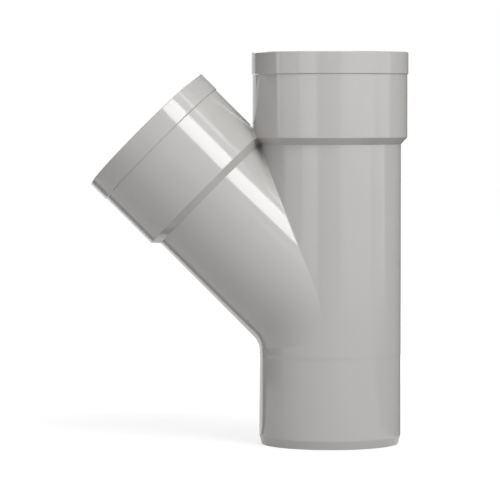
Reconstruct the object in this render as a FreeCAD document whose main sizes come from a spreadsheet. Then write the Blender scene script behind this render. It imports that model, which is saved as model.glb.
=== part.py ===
import FreeCAD, Part
import Sketcher
import math
import os

# Forty-five degree branch fitting for solvent-weld waste pipe, moulded in one piece: a straight
# run with a spigot below and a socket above, and a branch that ends in the same socket.
# Millimetres, +Z up along the run, the branch leans towards -X. The origin is the centre of the
# spigot's end, so that the run's axis is the Z axis and the fitting is symmetric about y = 0.

Vector = FreeCAD.Vector

# How far from a cylinder a point of an edge on it may lie.
TOLERANCE = 0.001

# Driving sizes: name, value and what it measures.
SIZES = [
    ("pipe_od", 50.0, "outside diameter of the pipe, and of the spigot"),
    ("pipe_clearance", 0.1, "gap all round between a socket's bore and the pipe in it"),
    ("wall", 3.0, "wall of the spigot, from its outside to the waterway"),
    ("branch_angle", 45.0, "degrees between the run's axis and the branch's"),
    ("body_rise", 0.1, "how far the body stands proud of the spigot"),
    ("branch_inset", 0.1, "how much smaller all round the branch is than the run it leaves"),
    ("heel_radius", 7.0, "outside radius where the branch leaves the run below"),
    ("crotch_fillet", 0.5, "fillet along the outside crease between run and branch"),
    ("socket_fillet", 0.5, "fillet along the crease between the two sockets"),
    ("spigot_length", 30.9, "spigot, from its end to the cone that widens it to the body"),
    ("spigot_cone", 1.5, "length of that cone"),
    ("spigot_cone_round", 12.0, "rounding at either end of that cone"),
    ("heel_margin", 0.5, "body between that cone and the start of the heel"),
    ("lead_length", 3.0, "length of the lead-in chamfer outside the spigot"),
    ("lead_depth", 0.8, "how far that chamfer goes in from the spigot's surface"),
    ("lead_round", 1.5, "rounding between that chamfer and the spigot"),
    ("spigot_bore_chamfer", 0.3, "chamfer at the waterway's edge in the spigot's end"),
    ("socket_depth", 30.0, "how far a pipe goes into a socket, from its mouth to its stop"),
    ("socket_wall", 2.25, "wall of a socket, from its bore to its outside"),
    ("stop_web", 1.6, "how far each stop lies past the point where the two bores would meet"),
    ("mouth_length", 1.2, "length of the lead-in chamfer inside a socket's mouth"),
    ("mouth_depth", 0.5, "how far that chamfer widens the bore"),
    ("step_length", 2.4, "length of the cone between the body and a socket's outside"),
    ("step_round", 0.3, "rounding between that cone and the socket's outside"),
    ("lip_width", 7.6, "width of the thicker band round a socket's mouth"),
    ("lip_rise", 0.35, "how far that band stands proud of the socket's outside"),
    ("lip_edge_chamfer", 0.3, "chamfer of the band's outer edge at the mouth"),
]

# Sizes that follow from the driving ones: name, formula and what it measures.
WORKED = [
    ("spigot_radius", "Sizes.pipe_od / 2", "outside of the spigot"),
    ("waterway_radius", "spigot_radius - Sizes.wall", "bore of the run"),
    ("body_radius", "spigot_radius + Sizes.body_rise", "outside of the run"),
    ("branch_radius", "body_radius - Sizes.branch_inset", "outside of the branch"),
    ("branch_waterway", "waterway_radius - Sizes.branch_inset", "bore of the branch"),
    ("bore_radius", "spigot_radius + Sizes.pipe_clearance", "bore of a socket"),
    ("socket_radius", "bore_radius + Sizes.socket_wall", "outside of a socket"),
    ("lip_radius", "socket_radius + Sizes.lip_rise", "outside of the band at its mouth"),
    ("heel_bend", "branch_radius + Sizes.heel_radius", "radius of the heel's centre line"),
    ("heel_reach", "heel_bend * tan(Sizes.branch_angle / 2)", "from either end of the heel to there"),
    ("heel_start", "Sizes.spigot_length + Sizes.spigot_cone + Sizes.heel_margin", "height of its start"),
    ("crossing", "heel_start + heel_reach", "height where the axes cross"),
    ("reach", "bore_radius / tan(Sizes.branch_angle / 2) + Sizes.stop_web", "from there to each stop"),
    ("branch_mouth", "reach + Sizes.socket_depth", "from there to each mouth"),
    ("run_stop", "crossing + reach", "height of the run's stop"),
    ("run_mouth", "crossing + branch_mouth", "height of the run's mouth"),
]


def add_sheet(document, name, rows):
    """A spreadsheet with one size on each row: its note, its content and its alias."""
    sheet = document.addObject("Spreadsheet::Sheet", name)
    for row, (alias, content, note) in enumerate(rows, start=1):
        sheet.set(f"A{row}", note)
        sheet.set(f"B{row}", content)
        sheet.setAlias(f"B{row}", alias)
    document.recompute()
    return sheet


def add_sketch(body, name, role):
    """A sketch on one of the body's own origin planes."""
    plane = next(feature for feature in body.Origin.OriginFeatures if feature.Role == role)
    sketch = body.newObject("Sketcher::SketchObject", name)
    sketch.AttachmentSupport = [(plane, "")]
    sketch.MapMode = "FlatFace"
    return sketch


def lean_with_branch(sketch):
    """Puts a sketch's origin where the axes cross and turns its Y axis along the branch."""
    turn = FreeCAD.Rotation(Vector(0, 0, 1), sketch.Document.Sizes.branch_angle)
    sketch.AttachmentOffset = FreeCAD.Placement(Vector(0, 0, 0), turn)
    sketch.setExpression(".AttachmentOffset.Base.y", "Worked.crossing")
    sketch.setExpression(".AttachmentOffset.Rotation.Angle", "Sizes.branch_angle")


def worth(sketch, expression):
    return float(sketch.evalExpression(expression))


def dimension(sketch, kind, name, expression, *where):
    """A named dimension of a sketch that follows an expression."""
    index = sketch.addConstraint(Sketcher.Constraint(kind, *where, worth(sketch, expression)))
    sketch.renameConstraint(index, name)
    sketch.setExpression(f"Constraints.{name}", expression)


def place_point(sketch, name, x, y, geometry, end):
    """Dimensions one point from the sketch's origin, or keeps it on an axis where that is zero."""
    if x == "0":
        sketch.addConstraint(Sketcher.Constraint("PointOnObject", geometry, end, -2))
    else:
        dimension(sketch, "DistanceX", f"{name}_x", x, -1, 1, geometry, end)
    if y == "0":
        sketch.addConstraint(Sketcher.Constraint("PointOnObject", geometry, end, -1))
    else:
        dimension(sketch, "DistanceY", f"{name}_y", y, -1, 1, geometry, end)


def corner_arc(before, corner, after, radius):
    """The arc that rounds a corner, and which of its ends the outline arrives at."""
    arriving = (corner - before).normalize()
    leaving = (after - corner).normalize()
    turn = arriving.getAngle(leaving)
    cut = radius * math.tan(turn / 2)
    left_turn = arriving.cross(leaving).z > 0
    inward = Vector(-arriving.y, arriving.x, 0) * (radius if left_turn else -radius)
    start = corner - arriving * cut
    end = corner + leaving * cut
    centre = start + inward
    circle = Part.Circle(centre, Vector(0, 0, 1), radius)
    first, last = (start, end) if left_turn else (end, start)
    arc = Part.ArcOfCircle(circle, circle.parameter(first), circle.parameter(last))
    return arc, start, end, 1 if left_turn else 2


def draw_outline(sketch, corners):
    """A closed outline. Each corner is a name, its x and y, and its rounding or None, all of them
    expressions; a rounded corner is dimensioned where its two sides would have met."""
    points = [Vector(worth(sketch, x), worth(sketch, y), 0) for name, x, y, rounding in corners]
    arcs = {}
    starts = list(points)
    ends = list(points)
    for i, (name, x, y, rounding) in enumerate(corners):
        if rounding:
            radius = worth(sketch, rounding)
            after = points[(i + 1) % len(points)]
            arc, starts[i], ends[i], arrival = corner_arc(points[i - 1], points[i], after, radius)
            arcs[i] = (sketch.addGeometry(arc, False), arrival)
    sides = []
    for i in range(len(points)):
        line = Part.LineSegment(ends[i], starts[(i + 1) % len(points)])
        sides.append(sketch.addGeometry(line, False))
    for i, (name, x, y, rounding) in enumerate(corners):
        side_in = sides[i - 1]
        side_out = sides[i]
        if rounding:
            arc, arrival = arcs[i]
            sketch.addConstraint(Sketcher.Constraint("Tangent", side_in, 2, arc, arrival))
            sketch.addConstraint(Sketcher.Constraint("Tangent", arc, 3 - arrival, side_out, 1))
            dimension(sketch, "Radius", f"{name}_round", rounding, arc)
            mark = sketch.addGeometry(Part.Point(points[i]), True)
            sketch.addConstraint(Sketcher.Constraint("PointOnObject", mark, 1, side_in))
            sketch.addConstraint(Sketcher.Constraint("PointOnObject", mark, 1, side_out))
            place_point(sketch, name, x, y, mark, 1)
        else:
            sketch.addConstraint(Sketcher.Constraint("Coincident", side_in, 2, side_out, 1))
            place_point(sketch, name, x, y, side_out, 1)


def turn_about(body, kind, name, sketch, axis="V_Axis"):
    """A Revolution or a Groove of a sketch, all the way round unless its angle is set later."""
    feature = body.newObject(f"PartDesign::{kind}", name)
    feature.Profile = sketch
    feature.ReferenceAxis = (sketch, [axis])
    feature.Angle = 360
    sketch.Visibility = False
    return feature


def run_outside(body):
    """The spigot, its lead-in chamfer and the run's body, which ends inside the socket."""
    sketch = add_sketch(body, "run_outside_sketch", "XZ_Plane")
    cone_top = "Sizes.spigot_length + Sizes.spigot_cone"
    top = "Worked.run_mouth - Sizes.lip_width"
    draw_outline(sketch, [
        ("foot", "0", "0", None),
        ("end_edge", "Worked.spigot_radius - Sizes.lead_depth", "0", None),
        ("lead_top", "Worked.spigot_radius", "Sizes.lead_length", "Sizes.lead_round"),
        ("cone_foot", "Worked.spigot_radius", "Sizes.spigot_length", "Sizes.spigot_cone_round"),
        ("cone_top", "Worked.body_radius", cone_top, "Sizes.spigot_cone_round"),
        ("body_top", "Worked.body_radius", top, None),
        ("axis_top", "0", top, None),
    ])
    return turn_about(body, "Revolution", "run_outside", sketch)


def heel_outside(body):
    """The bend that leads from the run into the branch: the branch's own section, turned about a
    line beside it, so that the run's lower side sweeps round into the branch's."""
    sketch = add_sketch(body, "heel_sketch", "XY_Plane")
    sketch.setExpression(".AttachmentOffset.Base.z", "Worked.heel_start")
    radius = worth(sketch, "Worked.branch_radius")
    bend = worth(sketch, "Worked.heel_bend")
    section = sketch.addGeometry(Part.Circle(Vector(0, 0, 0), Vector(0, 0, 1), radius), False)
    sketch.addConstraint(Sketcher.Constraint("Coincident", section, 3, -1, 1))
    dimension(sketch, "Radius", "section_radius", "Worked.branch_radius", section)
    line = Part.LineSegment(Vector(-bend, -radius, 0), Vector(-bend, radius, 0))
    hinge = sketch.addGeometry(line, True)
    sketch.addConstraint(Sketcher.Constraint("Symmetric", hinge, 1, hinge, 2, -1))
    dimension(sketch, "DistanceX", "bend_radius", "Worked.heel_bend", hinge, 1, -1, 1)
    dimension(sketch, "DistanceY", "hinge_length", "2 * Worked.branch_radius", hinge, 1, hinge, 2)
    heel = turn_about(body, "Revolution", "heel_outside", sketch, "Axis0")
    heel.setExpression("Angle", "Sizes.branch_angle")
    heel.Reversed = True
    return heel


def branch_outside(body):
    """The branch's body, from the end of the heel to inside its socket."""
    sketch = add_sketch(body, "branch_outside_sketch", "XZ_Plane")
    lean_with_branch(sketch)
    top = "Worked.branch_mouth - Sizes.lip_width"
    draw_outline(sketch, [
        ("axis_foot", "0", "Worked.heel_reach", None),
        ("body_foot", "Worked.branch_radius", "Worked.heel_reach", None),
        ("body_top", "Worked.branch_radius", top, None),
        ("axis_top", "0", top, None),
    ])
    return turn_about(body, "Revolution", "branch_outside", sketch)


def junction_edges(feature, run_radius, branch_radius):
    """The edges of a feature that lie both on the run's cylinder and on the branch's. The fillet
    goes on by itself along the edge between the run and the heel."""
    document = feature.Document
    crossing = Vector(0, 0, document.Worked.crossing)
    lean = math.radians(document.Sizes.branch_angle)
    along = Vector(-math.sin(lean), 0, math.cos(lean))
    names = []
    for number, edge in enumerate(feature.Shape.Edges, start=1):
        span = edge.LastParameter - edge.FirstParameter
        points = [edge.valueAt(edge.FirstParameter + span * part / 4) for part in range(5)]
        on_run = all(abs(math.hypot(point.x, point.y) - run_radius) < TOLERANCE for point in points)
        from_axis = [(point - crossing).cross(along).Length for point in points]
        on_branch = all(abs(distance - branch_radius) < TOLERANCE for distance in from_axis)
        if on_run and on_branch:
            names.append(f"Edge{number}")
    return names


def junction_fillet(body, name, base, run_radius, branch_radius, fillet_radius):
    """Rounds the whole edge along which run and branch meet in two cylinders of these radii."""
    body.Document.recompute()
    worked = body.Document.Worked
    edges = junction_edges(base, getattr(worked, run_radius), getattr(worked, branch_radius))
    fillet = body.newObject("PartDesign::Fillet", name)
    fillet.Base = (base, edges)
    fillet.setExpression("Radius", f"Sizes.{fillet_radius}")
    return fillet


def socket_outside(body, name, stop, mouth, on_branch):
    """A socket's outside: the cone, which starts as deep inside the body as it rises above it,
    the socket and the band at its mouth."""
    sketch = add_sketch(body, f"{name}_sketch", "XZ_Plane")
    if on_branch:
        lean_with_branch(sketch)
    root = f"{stop} - 2 * Sizes.step_length"
    line = f"{mouth} - Sizes.lip_width"
    draw_outline(sketch, [
        ("axis_foot", "0", root, None),
        ("step_root", "2 * Worked.body_radius - Worked.socket_radius", root, None),
        ("step_top", "Worked.socket_radius", stop, "Sizes.step_round"),
        ("line_foot", "Worked.socket_radius", f"{line} - Sizes.lip_rise", None),
        ("line_top", "Worked.lip_radius", line, None),
        ("lip_top", "Worked.lip_radius", f"{mouth} - Sizes.lip_edge_chamfer", None),
        ("lip_edge", "Worked.lip_radius - Sizes.lip_edge_chamfer", mouth, None),
        ("axis_top", "0", mouth, None),
    ])
    return turn_about(body, "Revolution", name, sketch)


def bore_corners(waterway, stop, mouth):
    """The upper part of what is cut out: the stop, the bore and the lead-in at the mouth."""
    return [
        ("stop_edge", waterway, stop, None),
        ("bore_foot", "Worked.bore_radius", stop, None),
        ("bore_top", "Worked.bore_radius", f"{mouth} - Sizes.mouth_length", None),
        ("mouth_edge", "Worked.bore_radius + Sizes.mouth_depth", mouth, None),
        ("axis_top", "0", mouth, None),
    ]


def run_inside(body):
    """What is cut out of the run: its waterway from the spigot's end and the bore above it."""
    sketch = add_sketch(body, "run_inside_sketch", "XZ_Plane")
    end_edge = "Worked.waterway_radius + Sizes.spigot_bore_chamfer"
    draw_outline(sketch, [
        ("foot", "0", "0", None),
        ("end_edge", end_edge, "0", None),
        ("waterway_foot", "Worked.waterway_radius", "Sizes.spigot_bore_chamfer", None),
        *bore_corners("Worked.waterway_radius", "Worked.run_stop", "Worked.run_mouth"),
    ])
    return turn_about(body, "Groove", "run_inside", sketch)


def branch_inside(body):
    """What is cut out of the branch: its waterway from where the axes cross and the bore above."""
    sketch = add_sketch(body, "branch_inside_sketch", "XZ_Plane")
    lean_with_branch(sketch)
    draw_outline(sketch, [
        ("foot", "0", "0", None),
        ("waterway_foot", "Worked.branch_waterway", "0", None),
        *bore_corners("Worked.branch_waterway", "Worked.reach", "Worked.branch_mouth"),
    ])
    return turn_about(body, "Groove", "branch_inside", sketch)


def branch_fitting(document):
    body = document.addObject("PartDesign::Body", "branch_fitting")
    body.Label = "branch_fitting"
    run_outside(body)
    heel_outside(body)
    joined = branch_outside(body)
    junction_fillet(body, "crotch", joined, "body_radius", "branch_radius", "crotch_fillet")
    socket_outside(body, "run_socket", "Worked.run_stop", "Worked.run_mouth", False)
    met = socket_outside(body, "branch_socket", "Worked.reach", "Worked.branch_mouth", True)
    junction_fillet(body, "socket_crotch", met, "socket_radius", "socket_radius", "socket_fillet")
    run_inside(body)
    branch_inside(body)
    return body


def check(document, bodies):
    """Stops where any feature failed or a part's shape isn't one sound solid."""
    document.recompute()
    for feature in document.Objects:
        if "Invalid" in feature.State or "Error" in feature.State:
            raise RuntimeError(f"{feature.Name} failed: {feature.State}")
        if feature.TypeId == "Sketcher::SketchObject" and not feature.FullyConstrained:
            raise RuntimeError(f"{feature.Name} isn't fully constrained")
    for body in bodies:
        if body.Shape.isNull() or not body.Shape.isValid() or len(body.Shape.Solids) != 1:
            raise RuntimeError(f"{body.Label} isn't one sound solid")


def main():
    document = FreeCAD.newDocument("branch_fitting_model")
    add_sheet(document, "Sizes", [(name, str(value), note) for name, value, note in SIZES])
    add_sheet(document, "Worked", [(name, f"={formula}", note) for name, formula, note in WORKED])
    bodies = [branch_fitting(document)]
    check(document, bodies)
    os.makedirs("parts", exist_ok=True)
    for body in bodies:
        body.Shape.exportStep(f"parts/{body.Label}.step")
        print(f"{body.Label}: {len(body.Shape.Faces)} faces, {body.Shape.Volume:.1f} mm3")


main()
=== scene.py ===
import math

import bpy
from mathutils import Matrix, Quaternion, Vector

# Lengths are in metres. In the photograph +X is to the right, +Y away from the camera and +Z up.
# These are the direction of the fitting's branch, straight up, and the middle of the fitting.
ALONG = Vector((-1, 0, 1)).normalized()
UP = Vector((0, 0, 1))
MIDDLE = Vector((-0.028, 0, 0.075))

# The height where the axes cross, and how far the run's socket reaches from its axis.
CROSSING = 0.04615
RUN_EDGE = 0.0283

# The parting line is whole up to the first distance from its plane and gone at the second. A point
# is outside where its distance from the axis, along its normal, is over the third.
SEAM_WHOLE = 0.00006
SEAM_GONE = 0.00018
OUTSIDE = 0.004

# The PVC's two tones and the parting line's, how much of the last shows, and the roughness.
DARK_TONE = (0.441, 0.429, 0.417, 1)
LIGHT_TONE = (0.464, 0.452, 0.443, 1)
SEAM_TONE = (0.380, 0.369, 0.359, 1)
SEAM_SHARE = 0.5
ROUGHNESS = (0.09, 0.13)
PVC_IOR = 1.5

# How softly the edges are shaded: the radius, and the samples that it takes.
EDGE_RADIUS = 0.0002
EDGE_SAMPLES = 6

# Scale and detail of the noise in the tone, the sheen and the waves. The roughness follows the
# middle part of its noise.
TONE_NOISE = (28, 3)
SHEEN_NOISE = (60, 4)
WAVE_NOISE = (45, 2)
SHEEN_RANGE = (0.3, 0.7)

# Strength and height of the waves and of the parting line.
WAVES = (0.25, 0.0004)
SEAM_RIDGE = (0.6, 0.00008)

# The sky's strength as light, and as the camera and reflections see it.
SKY_LIGHT = 0.05
SKY_WHITE = 1.0

# The floor's width, its grey as it lights the fitting and under the shadow, and its glow: for the
# camera from near the fitting outwards, and for reflections from the front to the back.
FLOOR_WIDTH = 8
FLOOR_GREY = (0.45, 0.45, 0.45, 1)
SHADOW_GREY = (0.3, 0.3, 0.3, 1)
SHOWN_GLOW = (0.10, 0.45, 0.72, 1.0)
MIRRORED_GLOW = (0.12, 0.35, 0.45, 1.0)

# How high above the floor a card lies on it, and how high an upright card reaches.
LOW = 0.002
WALL = 1.2

# The camera: its place, its turns in degrees, and its lens and sensor in millimetres.
EYE = Vector((0.0206, -1.0892, 0.1173))
YAW = 2.571
PITCH = 2.564
ROLL = -0.058
LENS = 221.66
SENSOR = 36


def link(tree, source, target):
    tree.links.new(source, target)


def node(tree, kind, **settings):
    made = tree.nodes.new(kind)
    for name, value in settings.items():
        setattr(made, name, value)
    return made


def emptied(owner):
    """The node tree of a material or world, with nothing in it."""
    owner.use_nodes = True
    owner.node_tree.nodes.clear()
    return owner.node_tree


def noise(tree, where, scale, detail):
    made = node(tree, "ShaderNodeTexNoise")
    made.inputs["Scale"].default_value = scale
    made.inputs["Detail"].default_value = detail
    link(tree, where, made.inputs["Vector"])
    return made.outputs["Fac"]


def ranged(tree, value, low, high, out_low, out_high):
    made = node(tree, "ShaderNodeMapRange")
    for name, number in (("From Min", low), ("From Max", high), ("To Min", out_low), ("To Max", out_high)):
        made.inputs[name].default_value = number
    link(tree, value, made.inputs["Value"])
    return made.outputs["Result"]


def calculated(tree, operation, first, second):
    made = node(tree, "ShaderNodeMath", operation=operation)
    for socket, value in zip(made.inputs, (first, second)):
        if isinstance(value, float):
            socket.default_value = value
        else:
            link(tree, value, socket)
    return made.outputs[0]


def chosen(tree, factor, first, second):
    """The first number where the factor is 0, and the second where it is 1."""
    made = node(tree, "ShaderNodeMix", data_type="FLOAT")
    link(tree, factor, made.inputs["Factor"])
    link(tree, first, made.inputs["A"])
    link(tree, second, made.inputs["B"])
    return made.outputs["Result"]


def bumped(tree, normal, height, strength, distance):
    made = node(tree, "ShaderNodeBump")
    link(tree, normal, made.inputs["Normal"])
    link(tree, height, made.inputs["Height"])
    made.inputs["Strength"].default_value = strength
    made.inputs["Distance"].default_value = distance
    return made.outputs["Normal"]


def parts(tree, vector):
    made = node(tree, "ShaderNodeSeparateXYZ")
    link(tree, vector, made.inputs[0])
    return made.outputs


def parting_line(tree):
    """Where the two halves of the mould met: a hair line round the outside, in the plane of the two
    axes. A point is outside where its normal points away from the axis of its pipe: the branch's
    beyond the run's socket, and else the run's."""
    coordinates = node(tree, "ShaderNodeTexCoord")
    x, y, z = parts(tree, coordinates.outputs["Object"])
    facing_x, _, facing_z = parts(tree, coordinates.outputs["Normal"])
    from_run = calculated(tree, "MULTIPLY", x, facing_x)
    across = calculated(tree, "SUBTRACT", calculated(tree, "ADD", x, z), CROSSING)
    from_branch = calculated(tree, "MULTIPLY", across, calculated(tree, "ADD", facing_x, facing_z))
    on_branch = calculated(tree, "LESS_THAN", x, -RUN_EDGE)
    from_axis = chosen(tree, on_branch, from_run, from_branch)
    outside = calculated(tree, "GREATER_THAN", from_axis, OUTSIDE)
    near = ranged(tree, calculated(tree, "ABSOLUTE", y, 0.0), SEAM_WHOLE, SEAM_GONE, 1, 0)
    return calculated(tree, "MULTIPLY", near, outside)


def pvc():
    """Warm grey rigid PVC as it leaves the mould: glossy, with a faint unevenness of tone and sheen,
    the slight waviness of a cooled wall and a fine parting line."""
    material = bpy.data.materials.new("pvc")
    tree = emptied(material)
    output = node(tree, "ShaderNodeOutputMaterial")
    shader = node(tree, "ShaderNodeBsdfPrincipled")
    shader.inputs["IOR"].default_value = PVC_IOR
    link(tree, shader.outputs["BSDF"], output.inputs["Surface"])
    where = node(tree, "ShaderNodeTexCoord").outputs["Object"]

    tone = node(tree, "ShaderNodeMix", data_type="RGBA")
    tone.inputs["A"].default_value = DARK_TONE
    tone.inputs["B"].default_value = LIGHT_TONE
    link(tree, noise(tree, where, *TONE_NOISE), tone.inputs["Factor"])
    seam = parting_line(tree)
    marked = node(tree, "ShaderNodeMix", data_type="RGBA")
    link(tree, calculated(tree, "MULTIPLY", seam, SEAM_SHARE), marked.inputs["Factor"])
    link(tree, tone.outputs["Result"], marked.inputs["A"])
    marked.inputs["B"].default_value = SEAM_TONE
    link(tree, marked.outputs["Result"], shader.inputs["Base Color"])

    sheen = ranged(tree, noise(tree, where, *SHEEN_NOISE), *SHEEN_RANGE, *ROUGHNESS)
    link(tree, sheen, shader.inputs["Roughness"])

    soft_edges = node(tree, "ShaderNodeBevel", samples=EDGE_SAMPLES)
    soft_edges.inputs["Radius"].default_value = EDGE_RADIUS
    wavy = bumped(tree, soft_edges.outputs["Normal"], noise(tree, where, *WAVE_NOISE), *WAVES)
    raised = bumped(tree, wavy, seam, *SEAM_RIDGE)
    link(tree, raised, shader.inputs["Normal"])
    return material


def white_to_the_camera(tree, plain, white):
    """Mixes two shaders: the white one for what the camera and mirror-like rays see."""
    path = node(tree, "ShaderNodeLightPath").outputs
    seen = calculated(tree, "MAXIMUM", path["Is Camera Ray"], path["Is Glossy Ray"])
    seen = calculated(tree, "MAXIMUM", seen, path["Is Transmission Ray"])
    mix = node(tree, "ShaderNodeMixShader")
    link(tree, seen, mix.inputs["Fac"])
    link(tree, plain, mix.inputs[1])
    link(tree, white, mix.inputs[2])
    return mix.outputs["Shader"]


def background(tree, strength):
    made = node(tree, "ShaderNodeBackground")
    made.inputs["Color"].default_value = (1, 1, 1, 1)
    made.inputs["Strength"].default_value = strength
    return made.outputs[0]


def diffuse(tree, colour):
    made = node(tree, "ShaderNodeBsdfDiffuse")
    made.inputs["Color"].default_value = colour
    return made.outputs[0]


def sky():
    """A dim sky that is white to the camera and in reflections."""
    world = bpy.data.worlds.new("studio")
    bpy.context.scene.world = world
    tree = emptied(world)
    output = node(tree, "ShaderNodeOutputWorld")
    mixed = white_to_the_camera(tree, background(tree, SKY_LIGHT), background(tree, SKY_WHITE))
    link(tree, mixed, output.inputs["Surface"])


def floor():
    """A pale floor that shows white where no shadow falls on it. The lamps light it less further out,
    so it glows more there. Reflections see half of that glow in front, and all of it at the back."""
    bpy.ops.mesh.primitive_plane_add(size=FLOOR_WIDTH, location=(0, 0, 0))
    plane = bpy.context.object
    plane.name = "floor"
    material = bpy.data.materials.new("floor")
    tree = emptied(material)
    output = node(tree, "ShaderNodeOutputMaterial")
    where = node(tree, "ShaderNodeTexCoord").outputs["Object"]
    outwards = node(tree, "ShaderNodeVectorMath", operation="LENGTH")
    link(tree, where, outwards.inputs[0])
    shown = ranged(tree, outwards.outputs["Value"], *SHOWN_GLOW)
    mirrored = ranged(tree, parts(tree, where)["Y"], *MIRRORED_GLOW)
    path = node(tree, "ShaderNodeLightPath").outputs
    glow = node(tree, "ShaderNodeEmission")
    link(tree, chosen(tree, path["Is Glossy Ray"], shown, mirrored), glow.inputs["Strength"])
    lit = node(tree, "ShaderNodeAddShader")
    link(tree, diffuse(tree, SHADOW_GREY), lit.inputs[0])
    link(tree, glow.outputs[0], lit.inputs[1])
    mixed = white_to_the_camera(tree, diffuse(tree, FLOOR_GREY), lit.outputs[0])
    link(tree, mixed, output.inputs["Surface"])
    plane.data.materials.append(material)


def around(azimuth, elevation):
    """A direction from the fitting, in degrees: azimuth from the front to the right, and up."""
    turn = math.radians(azimuth)
    rise = math.radians(elevation)
    return (math.sin(turn) * math.cos(rise), -math.cos(turn) * math.cos(rise), math.sin(rise))


def softbox(name, direction, distance, width, length, up, radiance, mirrored):
    """A rectangular light that looks at the fitting from a direction: its length lies along up."""
    light = bpy.data.lights.new(name, "AREA")
    light.shape = "RECTANGLE"
    light.size = width
    light.size_y = length
    light.energy = radiance * math.pi * width * length
    lamp = bpy.data.objects.new(name, light)
    bpy.context.scene.collection.objects.link(lamp)
    out = Vector(direction).normalized()
    side = Vector(up).cross(out).normalized()
    top = out.cross(side)
    turn = Matrix((side, top, out)).transposed().to_4x4()
    lamp.matrix_world = Matrix.Translation(MIDDLE + out * distance) @ turn
    lamp.visible_glossy = mirrored


def upright(start, end):
    """The corners of a card that stands on the floor from one point to another."""
    return [(*start, 0), (*end, 0), (*end, WALL), (*start, WALL)]


def lying(*points):
    """The corners of a card that lies on the floor."""
    return [(*point, LOW) for point in points]


def set_card(name, corners, material):
    """Puts a card where only reflections see it."""
    mesh = bpy.data.meshes.new(name)
    mesh.from_pydata(corners, [], [tuple(range(len(corners)))])
    card = bpy.data.objects.new(name, mesh)
    bpy.context.scene.collection.objects.link(card)
    card.data.materials.append(material)
    card.visible_camera = False
    card.visible_diffuse = False
    card.visible_shadow = False


def dark_card(name, shade, corners):
    material = bpy.data.materials.new(name)
    material.use_nodes = True
    shader = material.node_tree.nodes["Principled BSDF"]
    shader.inputs["Base Color"].default_value = (shade, shade, shade, 1)
    shader.inputs["Roughness"].default_value = 1.0
    set_card(name, corners, material)


def bright_card(name, radiance, corners):
    material = bpy.data.materials.new(name)
    tree = emptied(material)
    output = node(tree, "ShaderNodeOutputMaterial")
    glow = node(tree, "ShaderNodeEmission")
    glow.inputs["Strength"].default_value = radiance
    link(tree, glow.outputs[0], output.inputs["Surface"])
    set_card(name, corners, material)


def camera():
    """A long lens that stands a little right of the run, above its middle, and looks back at the
    middle of the fitting."""
    data = bpy.data.cameras.new("camera")
    data.lens = LENS
    data.sensor_width = SENSOR
    eye = bpy.data.objects.new("camera", data)
    bpy.context.scene.collection.objects.link(eye)
    yaw = math.radians(YAW)
    pitch = math.radians(PITCH)
    roll = Quaternion((0, 0, 1), math.radians(ROLL))
    look = Vector((-math.sin(yaw) * math.cos(pitch), math.cos(yaw) * math.cos(pitch), -math.sin(pitch)))
    eye.location = EYE
    eye.rotation_euler = (look.to_track_quat("-Z", "Y") @ roll).to_euler()
    bpy.context.scene.camera = eye


# Each lamp's name, direction, distance, width, length, the way its length lies, radiance, and
# whether reflections show it.
LAMPS = (
    ("key", (0.488, -0.599, 0.636), 1.6, 0.66, 0.60, ALONG, 8.7, True),
    ("streak", (0.696, -0.174, 0.696), 1.6, 0.14, 0.5, ALONG, 2.5, True),
    ("left", around(-90, 8), 1.0, 0.5, 0.5, UP, 1.6, True),
    ("near_left", around(-60, 8), 1.0, 0.5, 0.5, UP, 1.0, True),
    ("front_left", around(-30, 8), 1.0, 0.5, 0.5, UP, 1.6, True),
    ("front_right", around(45, 8), 1.0, 1.0, 0.5, UP, 0.85, True),
    ("right", around(90, 8), 1.0, 0.5, 0.5, UP, 0.48, True),
    ("back_right", around(120, 8), 1.0, 0.5, 0.5, UP, 1.95, True),
    ("above_right", around(60, 40), 1.0, 0.5, 0.5, UP, 0.55, True),
    ("top", (0, 0.001, 1), 1.2, 0.7, 0.7, (0, 1, 0), 1.9, True),
    ("fill_front", around(25, 50), 1.0, 0.5, 0.5, UP, 3.5, False),
    ("fill_low", around(25, 15), 1.0, 0.5, 0.5, UP, 1.0, False),
    ("fill_left", around(-60, 50), 1.0, 0.5, 0.5, UP, 0.9, False),
    ("back", around(180, 35), 1.0, 1.2, 0.6, UP, 2.6, True),
)

# Each dark card's name, shade and corners. The last one begins where the bright rim on the left of
# the fitting ends.
DARK_CARDS = (
    ("dark_right", 0.25, upright((0.02, 0.75), (0.62, 0.10))),
    ("dark_right_floor", 0.1, lying((0.027, 0), (0.62, -0.15), (0.62, 0.60), (0.02, 0.75))),
    ("dark_left", 0.02, upright((-0.75, -0.1), (-0.49, 0.585))),
    ("dark_left_floor", 0.1, lying((-0.19, 0.2), (-0.25, -0.05), (-0.75, -0.1), (-0.49, 0.585))),
    ("dark_left_near", 0.05, lying((-0.0314, 0.0075), (-0.033, 0.0055), (-0.25, 0.148), (-0.19, 0.2))),
)

# The bright card whose reflection is that rim: its radiance and corners.
RIM_RADIANCE = 1.1
RIM = lying((-0.0314, 0.0082), (-0.195, 0.205), (-0.49, 0.59), (-0.30, 0.66), (-0.0285, 0.0085))


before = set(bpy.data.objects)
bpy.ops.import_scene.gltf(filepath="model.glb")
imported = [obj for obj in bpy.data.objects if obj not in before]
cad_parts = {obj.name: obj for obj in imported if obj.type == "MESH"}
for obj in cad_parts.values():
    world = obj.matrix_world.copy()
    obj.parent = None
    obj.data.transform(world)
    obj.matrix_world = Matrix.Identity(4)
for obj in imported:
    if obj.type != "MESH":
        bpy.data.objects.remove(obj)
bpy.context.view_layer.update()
bpy.context.scene.view_settings.view_transform = "Standard"

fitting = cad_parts["branch_fitting"]
fitting.data.materials.clear()
fitting.data.materials.append(pvc())

sky()
floor()
camera()
for lamp in LAMPS:
    softbox(*lamp)
for dark in DARK_CARDS:
    dark_card(*dark)
bright_card("rim_floor", RIM_RADIANCE, RIM)
